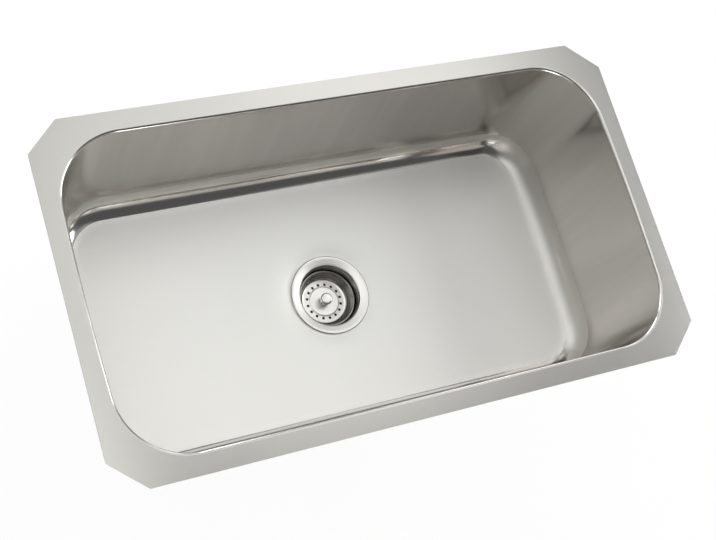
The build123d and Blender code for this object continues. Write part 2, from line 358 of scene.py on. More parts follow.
def remap(
    tree: bpy.types.NodeTree,
    value: bpy.types.NodeSocket,
    target: Point,
    source: Point = (0.0, 1.0),
    smooth: bool = False,
) -> bpy.types.NodeSocket:
    """Carry a value from one range to another.

    Args:
        tree: The node tree.
        value: The value that is carried over.
        target: The least and the greatest result.
        source: The values that give them.
        smooth: Whether the change eases in and out.

    Returns:
        The value in its new range.
    """
    inputs = {"Value": value, "From Min": source[0], "From Max": source[1]}
    inputs |= {"To Min": target[0], "To Max": target[1]}
    shape = {"interpolation_type": "SMOOTHSTEP" if smooth else "LINEAR"}
    return add_node(tree, "ShaderNodeMapRange", shape, inputs).outputs["Result"]


def reckon(tree: bpy.types.NodeTree, operation: str, *values: object) -> bpy.types.NodeSocket:
    """Add one step of arithmetic.

    Args:
        tree: The node tree.
        operation: The operation's name.
        values: Its one or two values, each a number or an output socket.

    Returns:
        The result.
    """
    step = add_node(tree, "ShaderNodeMath", {"operation": operation}, dict(enumerate(values)))
    return step.outputs["Value"]


def emboss(
    tree: bpy.types.NodeTree,
    shader: bpy.types.Node,
    height: bpy.types.NodeSocket,
    strength: float,
    depth: float,
) -> None:
    """Let a pattern stand out from the surface.

    Args:
        tree: The material's tree.
        shader: The shader whose surface is shaped.
        height: The pattern.
        strength: How much of it shows.
        depth: Its height, in millimetres.
    """
    inputs = {"Strength": strength, "Distance": depth * MM, "Height": height}
    relief = add_node(tree, "ShaderNodeBump", inputs=inputs)
    tree.links.new(relief.outputs["Normal"], shader.inputs["Normal"])


@dataclass(frozen=True)
class BrushedSteel:
    """Austenitic stainless sheet, rubbed with an abrasive belt or drawn over a press tool.

    Real scratches are a few hundredths of a millimetre wide, and a pixel of the photograph covers
    about a millimetre. So they are drawn coarser: as wide as scratch_mm and as long as length_mm.
    Streaks, where there are any, lie across the scratches.
    """

    name: str
    colour: str = "#cbcac8"
    roughness: float = 0.3
    anisotropy: float = 0.0
    coordinates: Coordinates = Coordinates.OBJECT
    scratch_mm: float = 0.9
    length_mm: float = 60.0
    tone_swing: float = 0.05
    roughness_swing: float = 0.03
    bump: float = 0.01
    metallic: float = 1.0
    dull_end: Optional[tuple[float, float, float]] = None
    streak_swing: float = 0.0
    streak_mm: float = 38.0
    streak_stretch: float = 12.0
    cloud_mm: float = 1000.0 / 7.0
    cloud_swing: float = 0.02
    relief_mm: float = 0.2

    def build(self) -> bpy.types.Material:
        """Make the material.

        Returns:
            The finished material.
        """
        material, tree, shader = new_material(self.name)
        places = add_node(tree, "ShaderNodeTexCoord").outputs
        grain_place, object_place = places[self.coordinates.value], places["Object"]
        scale = (1 / (self.length_mm * MM), 1 / (self.scratch_mm * MM), 1 / (self.scratch_mm * MM))
        stretch = add_node(tree, "ShaderNodeMapping", inputs={"Vector": grain_place, "Scale": scale})
        scratches = noise(tree, stretch.outputs["Vector"], scale=1.0, detail=3.0, rough=0.6)
        clouds = noise(tree, object_place, scale=1 / (self.cloud_mm * MM), detail=2.0)
        base = linear(self.colour)
        dark = tuple(c * (1 - self.tone_swing) for c in base[:3]) + (1.0,)
        light = tuple(min(1.0, c * (1 + self.tone_swing)) for c in base[:3]) + (1.0,)
        tone = add_node(tree, "ShaderNodeMix", {"data_type": "RGBA"}, {0: scratches, 6: dark, 7: light})
        if self.streak_swing > 0:
            tone = self.draw_streaks(tree, grain_place, tone.outputs[2])
        low, high = self.roughness - self.roughness_swing, self.roughness + self.roughness_swing
        grit = remap(tree, scratches, (low, high), source=(NOISE_LOW, NOISE_HIGH))
        haze = remap(tree, clouds, (-self.cloud_swing, self.cloud_swing))
        rough = reckon(tree, "ADD", grit, haze)
        if self.dull_end:
            rough = self.dull_toward_end(tree, object_place, rough)
        tree.links.new(tone.outputs[2], shader.inputs["Base Color"])
        tree.links.new(rough, shader.inputs["Roughness"])
        emboss(tree, shader, scratches, self.bump, self.relief_mm)
        shader.inputs["Metallic"].default_value = self.metallic
        if self.anisotropy > 0:
            quarter_turn = 0.25
            grain = add_node(tree, "ShaderNodeTangent", {"direction_type": "UV_MAP", "uv_map": "grain"})
            tree.links.new(grain.outputs["Tangent"], shader.inputs["Tangent"])
            shader.inputs["Anisotropic"].default_value = self.anisotropy
            shader.inputs["Anisotropic Rotation"].default_value = quarter_turn
        return material

    def dull_toward_end(
        self, tree: bpy.types.NodeTree, place: bpy.types.NodeSocket, rough: bpy.types.NodeSocket
    ) -> bpy.types.NodeSocket:
        """Make the sheet duller toward the right end, matched to the photograph.

        Args:
            tree: The material's tree.
            place: The object's coordinates.
            rough: The roughness so far.

        Returns:
            The new roughness.
        """
        start, end, gain = self.dull_end
        along = add_node(tree, "ShaderNodeSeparateXYZ", inputs={"Vector": place}).outputs["X"]
        more = remap(tree, along, (0.0, gain), source=(start * MM, end * MM), smooth=True)
        return reckon(tree, "ADD", rough, more)

    def draw_streaks(
        self, tree: bpy.types.NodeTree, place: bpy.types.NodeSocket, tone: bpy.types.NodeSocket
    ) -> bpy.types.Node:
        """Lay broad streaks down the wall over the tone of the scratches.

        Args:
            tree: The material's tree.
            place: The coordinates, with X along the rim and Y down the wall.
            tone: The colour that is streaked.

        Returns:
            The node with the streaked colour in its third output.
        """
        streak_low, streak_high = 0.35, 0.65  # closer than the noise's own range, for contrast
        scale = (1 / (self.streak_mm * MM), 1 / (self.streak_stretch * self.streak_mm * MM), 1.0)
        drawn = add_node(tree, "ShaderNodeMapping", inputs={"Vector": place, "Scale": scale})
        streaks = noise(tree, drawn.outputs["Vector"], scale=1.0, detail=3.0, rough=0.65)
        swing = (1 - self.streak_swing, 1 + self.streak_swing)
        depth = remap(tree, streaks, swing, source=(streak_low, streak_high))
        return add_node(
            tree,
            "ShaderNodeMix",
            {"data_type": "RGBA", "blend_type": "MULTIPLY"},
            {0: 1.0, 6: tone, 7: depth},
        )


@dataclass(frozen=True)
class PolishedMetal:
    """Metal that was buffed, plated or cast: reflections as clear as its roughness lets them be.

    Buffing marks are far too fine to show, so they are drawn coarser, as soft spots of grain_mm.
    """

    name: str
    colour: str = "#d2d1ce"
    roughness: float = 0.12
    roughness_swing: float = 0.03
    grain_mm: float = 3.0
    bump: float = 0.01
    relief_mm: float = 0.2

    def build(self) -> bpy.types.Material:
        """Make the material.

        Returns:
            The finished material.
        """
        material, tree, shader = new_material(self.name)
        place = add_node(tree, "ShaderNodeTexCoord").outputs["Object"]
        wear_marks = noise(tree, place, scale=1 / (self.grain_mm * MM), detail=4.0)
        clearest = 0.02
        low = max(clearest, self.roughness - self.roughness_swing)
        swing = (low, self.roughness + self.roughness_swing)
        rough = remap(tree, wear_marks, swing, source=(NOISE_LOW, NOISE_HIGH))
        shader.inputs["Base Color"].default_value = linear(self.colour)
        shader.inputs["Metallic"].default_value = 1.0
        tree.links.new(rough, shader.inputs["Roughness"])
        emboss(tree, shader, wear_marks, self.bump, self.relief_mm)
        return material


@dataclass(frozen=True)
class SoftMatter:
    """Rubber, putty, fibre or moulded plastic: no metal, with an uneven skin.

    The real skin is finer than a pixel, so its grain is drawn coarser, as wide as grain_mm.
    """

    name: str
    colour: str
    patch: str
    roughness: float = 0.7
    grain_mm: float = 1.2
    roughness_swing: float = 0.1
    blotch_grains: float = 20.0
    bump: float = 0.25
    depth_mm: float = 0.3

    def build(self) -> bpy.types.Material:
        """Make the material.

        Returns:
            The finished material.
        """
        material, tree, shader = new_material(self.name)
        place = add_node(tree, "ShaderNodeTexCoord").outputs["Object"]
        grain = noise(tree, place, scale=1 / (self.grain_mm * MM), detail=3.0)
        blotches = noise(tree, place, scale=1 / (self.blotch_grains * self.grain_mm * MM), detail=2.0)
        colours = {0: blotches, 6: linear(self.colour), 7: linear(self.patch)}
        tone = add_node(tree, "ShaderNodeMix", {"data_type": "RGBA"}, colours)
        swing = (self.roughness - self.roughness_swing, self.roughness + self.roughness_swing)
        rough = remap(tree, grain, swing)
        tree.links.new(tone.outputs[2], shader.inputs["Base Color"])
        tree.links.new(rough, shader.inputs["Roughness"])
        emboss(tree, shader, grain, self.bump, self.depth_mm)
        return material


# ------------------------------------------------------------------ what repeats round the drain


class RingJob(Enum):
    """What a ring of repeated shapes does to the piece it stands on."""

    CUT = "DIFFERENCE"
    JOIN = "UNION"


@dataclass(frozen=True)
class RingPattern:
    """Equal shapes at even steps on a circle about the drain's axis."""

    name: str
    job: RingJob
    count: int
    circle_r: float
    height: float
    size: tuple[float, float, float]
    round_shape: bool = False
    start_angle: float = 0.0

    def tree(self) -> bpy.types.GeometryNodeTree:
        """Build the Geometry Nodes tree that repeats the shape and cuts it out or welds it on.

        Returns:
            The tree, with inputs for the count, the circle, the height, the size and the material.
        """
        tree = bpy.data.node_groups.new(self.name, "GeometryNodeTree")
        sockets = tree.interface
        sockets.new_socket("Geometry", in_out="INPUT", socket_type="NodeSocketGeometry")
        sockets.new_socket("Count", in_out="INPUT", socket_type="NodeSocketInt")
        sockets.new_socket("Circle Radius", in_out="INPUT", socket_type="NodeSocketFloat")
        sockets.new_socket("Place", in_out="INPUT", socket_type="NodeSocketVector")
        sockets.new_socket("Turn", in_out="INPUT", socket_type="NodeSocketFloat")
        sockets.new_socket("Size", in_out="INPUT", socket_type="NodeSocketVector")
        sockets.new_socket("Material", in_out="INPUT", socket_type="NodeSocketMaterial")
        sockets.new_socket("Geometry", in_out="OUTPUT", socket_type="NodeSocketGeometry")
        given = add_node(tree, "NodeGroupInput").outputs
        circle = add_node(
            tree,
            "GeometryNodeMeshCircle",
            inputs={"Vertices": given["Count"], "Radius": given["Circle Radius"]},
        )
        spin = add_node(tree, "ShaderNodeCombineXYZ", inputs={"Z": given["Turn"]})
        placed = add_node(
            tree,
            "GeometryNodeTransform",
            inputs={
                "Geometry": circle.outputs["Mesh"],
                "Translation": given["Place"],
                "Rotation": spin.outputs["Vector"],
            },
        )
        span = add_node(tree, "ShaderNodeSeparateXYZ", inputs={"Vector": given["Size"]}).outputs
        if self.round_shape:
            radius = reckon(tree, "MULTIPLY", span["X"], 0.5)
            shape = add_node(
                tree,
                "GeometryNodeMeshCylinder",
                inputs={"Vertices": 32, "Radius": radius, "Depth": span["Z"]},
            )
        else:
            shape = add_node(tree, "GeometryNodeMeshCube", inputs={"Size": given["Size"]})
        spot = add_node(tree, "GeometryNodeInputPosition")
        parts = add_node(tree, "ShaderNodeSeparateXYZ", inputs={"Vector": spot.outputs["Position"]}).outputs
        outward = add_node(tree, "ShaderNodeCombineXYZ", inputs={"X": parts["X"], "Y": parts["Y"]})
        facing = add_node(
            tree,
            "FunctionNodeAlignRotationToVector",
            {"axis": "X", "pivot_axis": "Z"},
            {"Vector": outward.outputs["Vector"]},
        )
        copies = add_node(
            tree,
            "GeometryNodeInstanceOnPoints",
            inputs={
                "Points": placed.outputs["Geometry"],
                "Instance": shape.outputs["Mesh"],
                "Rotation": facing.outputs["Rotation"],
            },
        )
        solid = add_node(tree, "GeometryNodeRealizeInstances", inputs={0: copies.outputs["Instances"]})
        worked = add_node(tree, "GeometryNodeMeshBoolean", {"operation": self.job.value})
        if self.job is RingJob.CUT:
            tree.links.new(given["Geometry"], worked.inputs[0])
        else:
            tree.links.new(given["Geometry"], worked.inputs[1])
        tree.links.new(solid.outputs["Geometry"], worked.inputs[1])
        real = add_node(tree, "GeometryNodeRealizeInstances", inputs={0: worked.outputs["Mesh"]})
        dressed = add_node(
            tree,
            "GeometryNodeSetMaterial",
            inputs={"Geometry": real.outputs["Geometry"], "Material": given["Material"]},
        )
        add_node(tree, "NodeGroupOutput", inputs={0: dressed.outputs["Geometry"]})
        return tree

    def apply(self, piece: bpy.types.Object, material: bpy.types.Material) -> None:
        """Run the tree on a piece and bake the result.

        Args:
            piece: The object that is cut or added to.
            material: The material of the result.
        """
        run_tree(
            piece,
            self.tree(),
            {
                "Count": self.count,
                "Circle Radius": self.circle_r * MM,
                "Place": (0.0, 0.0, self.height * MM),
                "Turn": math.radians(self.start_angle),
                "Size": tuple(s * MM for s in self.size),
                "Material": material,
            },
        )


@dataclass(frozen=True)
class RolledThread:
    """A thread rolled into thin sheet: both skins ripple along one helix."""

    name: str
    pitch: float
    depth: float
    top_z: float
    end_z: float
    fade: float = 1.5

    def tree(self) -> bpy.types.GeometryNodeTree:
        """Build the Geometry Nodes tree that moves the skins in and out along the helix.

        Returns:
            The tree, with inputs for the pitch, the depth, both ends, the fade and the material.
        """
        tree = bpy.data.node_groups.new(self.name, "GeometryNodeTree")
        sockets = tree.interface
        sockets.new_socket("Geometry", in_out="INPUT", socket_type="NodeSocketGeometry")
        for label in ("Pitch", "Depth", "Top", "End", "Fade"):
            sockets.new_socket(label, in_out="INPUT", socket_type="NodeSocketFloat")
        sockets.new_socket("Material", in_out="INPUT", socket_type="NodeSocketMaterial")
        sockets.new_socket("Geometry", in_out="OUTPUT", socket_type="NodeSocketGeometry")
        given = add_node(tree, "NodeGroupInput").outputs
        spot = add_node(tree, "GeometryNodeInputPosition").outputs["Position"]
        parts = add_node(tree, "ShaderNodeSeparateXYZ", inputs={"Vector": spot}).outputs
        angle = reckon(tree, "ARCTAN2", parts["Y"], parts["X"])
        climb = reckon(tree, "DIVIDE", parts["Z"], given["Pitch"])
        turns = reckon(tree, "ADD", climb, reckon(tree, "DIVIDE", angle, 2 * math.pi))
        wave = reckon(tree, "COSINE", reckon(tree, "MULTIPLY", turns, 2 * math.pi))
        below_top = reckon(tree, "SUBTRACT", given["Top"], parts["Z"])
        above_end = reckon(tree, "SUBTRACT", parts["Z"], given["End"])
        nearer = reckon(tree, "DIVIDE", reckon(tree, "MINIMUM", below_top, above_end), given["Fade"])
        near = add_node(tree, "ShaderNodeClamp", inputs={"Value": nearer}).outputs["Result"]
        push = reckon(tree, "MULTIPLY", reckon(tree, "MULTIPLY", wave, near), given["Depth"])
        outward = add_node(tree, "ShaderNodeCombineXYZ", inputs={"X": parts["X"], "Y": parts["Y"]})
        way = add_node(
            tree, "ShaderNodeVectorMath", {"operation": "NORMALIZE"}, {0: outward.outputs["Vector"]}
        )
        shift = add_node(
            tree,
            "ShaderNodeVectorMath",
            {"operation": "SCALE"},
            {0: way.outputs["Vector"], "Scale": push},
        )
        moved = add_node(
            tree,
            "GeometryNodeSetPosition",
            inputs={"Geometry": given["Geometry"], "Offset": shift.outputs["Vector"]},
        )
        real = add_node(tree, "GeometryNodeRealizeInstances", inputs={0: moved.outputs["Geometry"]})
        dressed = add_node(
            tree,
            "GeometryNodeSetMaterial",
            inputs={"Geometry": real.outputs["Geometry"], "Material": given["Material"]},
        )
        add_node(tree, "NodeGroupOutput", inputs={0: dressed.outputs["Geometry"]})
        return tree

    def apply(self, piece: bpy.types.Object, material: bpy.types.Material) -> None:
        """Run the tree on a piece and bake the result.

        Args:
            piece: The object that gets the thread.
            material: The material of the result.
        """
        run_tree(
            piece,
            self.tree(),
            {
                "Pitch": self.pitch * MM,
                "Depth": self.depth * MM,
                "Top": self.top_z * MM,
                "End": self.end_z * MM,
                "Fade": self.fade * MM,
                "Material": material,
            },
        )


def run_tree(piece: bpy.types.Object, tree: bpy.types.GeometryNodeTree, values: dict[str, object]) -> None:
    """Put a Geometry Nodes tree on a piece, set its inputs and bake the result.

    Args:
        piece: The object that carries the tree.
        tree: The tree.
        values: Input name to value.
    """
    modifier = piece.modifiers.new(tree.name, "NODES")
    modifier.node_group = tree
    for item in tree.interface.items_tree:
        if item.in_out == "INPUT" and item.name in values:
            modifier[item.identifier] = values[item.name]
    settle(piece, [modifier])


# ------------------------------------------------------------------ the sink


class Zone(Enum):
    """The skins of the pressed sheet, in material slot order."""

    FLANGE = 0
    WALL = 1
    BEND = 2
    # the floor's steel is painted paler than the rest of the sheet, as painted light
    FLOOR = 3
    OUTSIDE = 4


@dataclass(frozen=True)
class RimSample:
    """A point of the mouth's outline: its place, its outward direction and its way round."""

    place: Vector
    outward: Vector
    along: float


@dataclass
class PressedSink:
    """The bowl and its flange: one sheet of steel, 1.2 mm thick."""

    finishes: dict[Zone, bpy.types.Material]
    flange: Point = (800.1, 457.2)
    flange_cut: Point = (41.5, 39.4)
    flange_point_r: float = 3.0
    sheet: float = 1.2
    mouth: Point = (751.6, 401.6)
    corner_r: float = 86.0
    end_bow: float = 6.0
    draft: float = 4.0
    rim_bend_r: float = 4.0
    floor_bend_r: float = 32.5
    floor_z: float = -214.4
    dish_r: float = 150.0
    recess_mouth: Point = (96.0, -215.1)
    recess_seat: Point = (61.5, -219.5)
    hole_lip: Point = (49.5, -219.5)
    hole: Point = (46.0, -223.0)
    press_line: Point = (1.6, 0.1)
    press_line_rise: float = 7.0

    def rim(self) -> list[RimSample]:
        """Sample the mouth's outline, anticlockwise from the middle of the right end.

        Returns:
            The samples, closer together round the corners.
        """
        half_x, half_y = self.mouth[0] / 2, self.mouth[1] / 2
        bow_r = (half_y**2 + self.end_bow**2) / (2 * self.end_bow)
        bow_x = half_x - bow_r
        centre_y = half_y - self.corner_r
        centre_x = bow_x + math.sqrt((bow_r - self.corner_r) ** 2 - centre_y**2)
        first = math.atan2(centre_y, centre_x - bow_x)
        quarter: list[tuple[Vector, Vector]] = []
        end_steps, corner_steps, side_steps = 10, 64, 10
        near_point, point_steps = math.radians(0.2), 3
        for k in range(end_steps):
            angle = first * k / end_steps
            way = Vector((math.cos(angle), math.sin(angle)))
            quarter.append((Vector((bow_x, 0)) + bow_r * way, way))
        turns = {first + (math.pi / 2 - first) * k / corner_steps for k in range(corner_steps + 1)}
        centre = Vector((centre_x, centre_y))
        for point in self.flange_points():
            aim = point - centre
            steps = range(-point_steps, point_steps + 1)
            turns |= {math.atan2(aim.y, aim.x) + step * near_point for step in steps}
        for angle in sorted(turns):
            way = Vector((math.cos(angle), math.sin(angle)))
            quarter.append((centre + self.corner_r * way, way))
        for k in range(1, side_steps + 1):
            quarter.append((Vector((centre_x * (1 - k / side_steps), half_y)), Vector((0, 1))))
        whole = list(quarter)
        whole += [(Vector((-p.x, p.y)), Vector((-n.x, n.y))) for p, n in quarter[-2::-1]]
        whole += [(-p, -n) for p, n in whole[1:-1]]
        samples, along = [], 0.0
        for i, (place, way) in enumerate(whole):
            along += (place - whole[i - 1][0]).length if i else 0.0
            samples.append(RimSample(place, way, along))
        return samples

    def flange_points(self) -> list[Vector]:
        """Find the two points of the flange's cut corner in the first quarter.

        Returns:
            The point on the right end, then the one on the back side.
        """
        half_x, half_y = self.flange[0] / 2, self.flange[1] / 2
        cut_x, cut_y = self.flange_cut
        return [Vector((half_x, half_y - cut_y)), Vector((half_x - cut_x, half_y))]

    def flange_reach(self, sample: RimSample) -> float:
        """How far the flange runs out from the mouth in a sample's direction.

        Args:
            sample: The sample of the mouth's outline.

        Returns:
            The distance to the flange's edge, in millimetres.
        """
        place = Vector((abs(sample.place.x), abs(sample.place.y)))
        way = Vector((abs(sample.outward.x), abs(sample.outward.y)))
        half_x, half_y = self.flange[0] / 2, self.flange[1] / 2
        a, b = self.flange_points()
        cut = Vector((b.y - a.y, a.x - b.x)).normalized()
        walls = [(Vector((1, 0)), half_x), (Vector((0, 1)), half_y), (cut, cut.dot(a))]
        reaches = [(limit - n.dot(place)) / n.dot(way) for n, limit in walls if n.dot(way) > TINY]
        reach = min(reaches)
        for corner, (one, two) in ((a, (walls[0][0], cut)), (b, (walls[1][0], cut))):
            turn = one.angle(two)
            middle = (one + two).normalized()
            centre = corner - middle * (self.flange_point_r / math.cos(turn / 2))
            offset = place - centre
            inside = offset.dot(way) ** 2 - offset.length_squared + self.flange_point_r**2
            if inside < 0:
                continue
            hit = -offset.dot(way) + math.sqrt(inside)
            spoke = (place + way * hit - centre).normalized()
            if spoke.angle(middle) <= turn / 2 + TINY:
                reach = min(reach, hit)
        return reach

    def column(self, sample: RimSample) -> list[tuple[Vector, Vector, Zone, float]]:
        """The upper skin from the flange's edge to the drain hole, through one rim sample.

        Args:
            sample: The sample of the mouth's outline.

        Returns:
            For each station its place, its upward normal, its zone and its way down the section.
        """
        lean = math.radians(self.draft)
        down = Vector((math.sin(lean), -math.cos(lean)))
        inward = Vector((math.cos(lean), math.sin(lean)))
        section: list[tuple[Vector, Vector, Zone]] = []
        up = Vector((0.0, 1.0))
        reach = self.flange_reach(sample)
        rim_reach = self.rim_bend_r * math.tan((math.pi / 2 - lean) / 2)
        section.append((Vector((-reach, 0)), up, Zone.FLANGE))
        section.append((Vector((-rim_reach - HOLD, 0)), up, Zone.FLANGE))
        rim_centre = Vector((-rim_reach, -self.rim_bend_r))
        rim_steps, brushed_steps = 12, 4
        for k in range(rim_steps + 1):
            angle = math.pi / 2 + (lean - math.pi / 2) * k / rim_steps
            way = Vector((math.cos(angle), math.sin(angle)))
            zone = Zone.FLANGE if k < brushed_steps else Zone.WALL
            section.append((rim_centre + self.rim_bend_r * way, way, zone))
        bend_s = self.bend_start()
        wall_steps, clear_of_bend = 6, 0.5
        start_s = rim_reach + clear_of_bend
        line_s = bend_s - self.press_line_rise
        half_line, line_depth = self.press_line
        wall_run = line_s - 2 * half_line - start_s
        for k in range(wall_steps + 1):
            section.append((down * (start_s + wall_run * k / wall_steps), inward, Zone.WALL))
        for share, depth in ((-1, 0.0), (0, line_depth), (1, 0.0), (2, 0.0)):
            place = down * (line_s + share * half_line) - inward * depth
            section.append((place, inward, Zone.WALL))
        section.append((down * (bend_s - HOLD), inward, Zone.WALL))
        bend_centre = down * bend_s + inward * self.floor_bend_r
        bend_steps, satin_steps = 26, 4
        for k in range(bend_steps + 1):
            angle = lean + (math.pi / 2 - lean) * k / bend_steps
            way = Vector((math.cos(angle), math.sin(angle)))
            zone = Zone.BEND if k < bend_steps - satin_steps else Zone.FLOOR
            section.append((bend_centre - self.floor_bend_r * way, way, zone))
        out: list[tuple[Vector, Vector, Zone, float]] = []
        walked, last = 0.0, section[0][0]
        for place, normal, zone in section:
            walked += (place - last).length
            last = place
            flat = sample.place - sample.outward * place.x
            lift = Vector((-sample.outward.x * normal.x, -sample.outward.y * normal.x, normal.y))
            out.append((Vector((flat.x, flat.y, place.y)), lift, zone, walked))
        edge = out[-1][0]
        aim = Vector((edge.x, edge.y)).normalized()
        floor_steps, first_share, beside_dish = 6, 0.01, 2.0
        for k in range(floor_steps + 1):
            share = max(first_share, k / floor_steps)
            flat = Vector((edge.x, edge.y)).lerp(aim * (self.dish_r + beside_dish), share)
            out.append((Vector((flat.x, flat.y, self.floor_z)), Vector((0, 0, 1)), Zone.FLOOR, walked))
        for radius, height, slope in self.dish():
            normal = Vector((-aim.x * math.sin(slope), -aim.y * math.sin(slope), math.cos(slope)))
            out.append((Vector((aim.x * radius, aim.y * radius, height)), normal, Zone.FLOOR, walked))
        return out

    def bend_start(self) -> float:
        """Find where the bend into the floor starts.

        Returns:
            How far it lies down the wall, in millimetres.
        """
        lean = math.radians(self.draft)
        centre_z = self.floor_z + self.floor_bend_r
        return (self.floor_bend_r * math.sin(lean) - centre_z) / math.cos(lean)

    def dish(self) -> list[tuple[float, float, float]]:
        """The round middle of the floor: radius, height and slope of each ring, down to the hole.

        Returns:
            The rings, from the dish's edge to the lip of the drain hole.
        """
        rings: list[tuple[float, float, float]] = []
        fall = math.atan2(self.floor_z - self.recess_mouth[1], self.dish_r - self.recess_mouth[0])
        for share in (0.0, 0.25, 0.5, 0.75, 0.96):
            radius = self.dish_r + (self.recess_mouth[0] - self.dish_r) * share
            height = self.floor_z + (self.recess_mouth[1] - self.floor_z) * share
            rings.append((radius, height, fall if share else fall / 2))
        run = self.recess_mouth[0] - self.recess_seat[0]
        drop = self.recess_mouth[1] - self.recess_seat[1]
        steps = 14
        # the recess falls as a parabola: level at its mouth, steepest at its seat
        for k in range(steps + 1):
            share = k / steps
            radius = self.recess_mouth[0] - run * share
            slope = math.atan(2 * drop * share / run)
            rings.append((radius, self.recess_mouth[1] - drop * share**2, slope))
        before_lip = 0.3
        lip_slope = math.atan2(self.hole_lip[1] - self.hole[1], self.hole_lip[0] - self.hole[0])
        rings.append((self.recess_seat[0] - HOLD, self.recess_seat[1], 0.0))
        rings.append((self.hole_lip[0] + before_lip, self.hole_lip[1], 0.0))
        rings.append((self.hole_lip[0], self.hole_lip[1], lip_slope / 2))
        rings.append((self.hole[0], self.hole[1], lip_slope))
        return rings

    def build(self) -> bpy.types.Object:
        """Make the sheet's mesh: upper skin, lower skin and the edges that join them.

        Returns:
            The bowl's object.
        """
        samples = self.rim()
        columns = [self.column(sample) for sample in samples]
        work = bmesh.new()
        grain = work.loops.layers.uv.new("grain")
        upper, lower = [], []
        for column in columns:
            below = [place - normal * self.sheet for place, normal, _, _ in column]
            upper.append([work.verts.new(place * MM) for place, _, _, _ in column])
            lower.append([work.verts.new(place * MM) for place in below])
        count, rings = len(samples), len(columns[0])
        perimeter = samples[-1].along + (samples[0].place - samples[-1].place).length

        def lay(corners: Sequence[tuple[bmesh.types.BMVert, int, int]], zone: Zone) -> None:
            """Make one face, with its grain coordinates in metres.

            Args:
                corners: Each corner's point, its number round the rim and its number down the section.
                zone: The skin that the face belongs to.
            """
            face = work.faces.new([vert for vert, _, _ in corners])
            face.material_index = zone.value
            wraps = max(i for _, i, _ in corners) - min(i for _, i, _ in corners) > 1
            for loop, (vert, i, j) in zip(face.loops, corners):
                if zone in (Zone.WALL, Zone.BEND):
                    along = samples[i].along + (perimeter if wraps and i == 0 else 0.0)
                    loop[grain].uv = (along * MM, columns[i][j][3] * MM)
                else:
                    loop[grain].uv = (vert.co.x, vert.co.y)

        for i in range(count):
            after = (i + 1) % count
            for j in range(rings - 1):
                zone = columns[i][j + 1][2] if j > 0 else Zone.FLANGE
                quad = [(upper[i][j], i, j), (upper[after][j], after, j)]
                quad += [(upper[after][j + 1], after, j + 1), (upper[i][j + 1], i, j + 1)]
                lay(quad, zone)
                quad = [(lower[i][j], i, j), (lower[i][j + 1], i, j + 1)]
                quad += [(lower[after][j + 1], after, j + 1), (lower[after][j], after, j)]
                lay(quad, Zone.OUTSIDE)
            quad = [(upper[i][0], i, 0), (lower[i][0], i, 0)]
            quad += [(lower[after][0], after, 0), (upper[after][0], after, 0)]
            lay(quad, Zone.FLANGE)
            j = rings - 1
            quad = [(upper[i][j], i, j), (upper[after][j], after, j)]
            quad += [(lower[after][j], after, j), (lower[i][j], i, j)]
            lay(quad, Zone.FLOOR)
        bmesh.ops.recalc_face_normals(work, faces=work.faces)
        mesh = bpy.data.meshes.new("pressed_bowl")
        work.to_mesh(mesh)
        work.free()
        crisp_by_angle(mesh)
        bowl = link_object("pressed_bowl", mesh)
        hand_over(bowl, [self.finishes[zone] for zone in Zone], "sink", "sink_bowl")
        return bowl


@dataclass
class SoundPads:
    """The self-adhesive rubber pads that deaden the steel, under the floor and on the walls."""

    finish: bpy.types.Material
    nodes: tuple[str, ...] = (
        "sound_pad_floor_left",
        "sound_pad_floor_right",
        "sound_pad_front",
        "sound_pad_back",
        "sound_pad_left",
        "sound_pad_right",
    )

    def dress(self) -> None:
        """Give each pad its rubber."""
        for node in self.nodes:
            wear(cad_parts[node], self.finish)
            LOG.info("sound pad %s dressed", node)


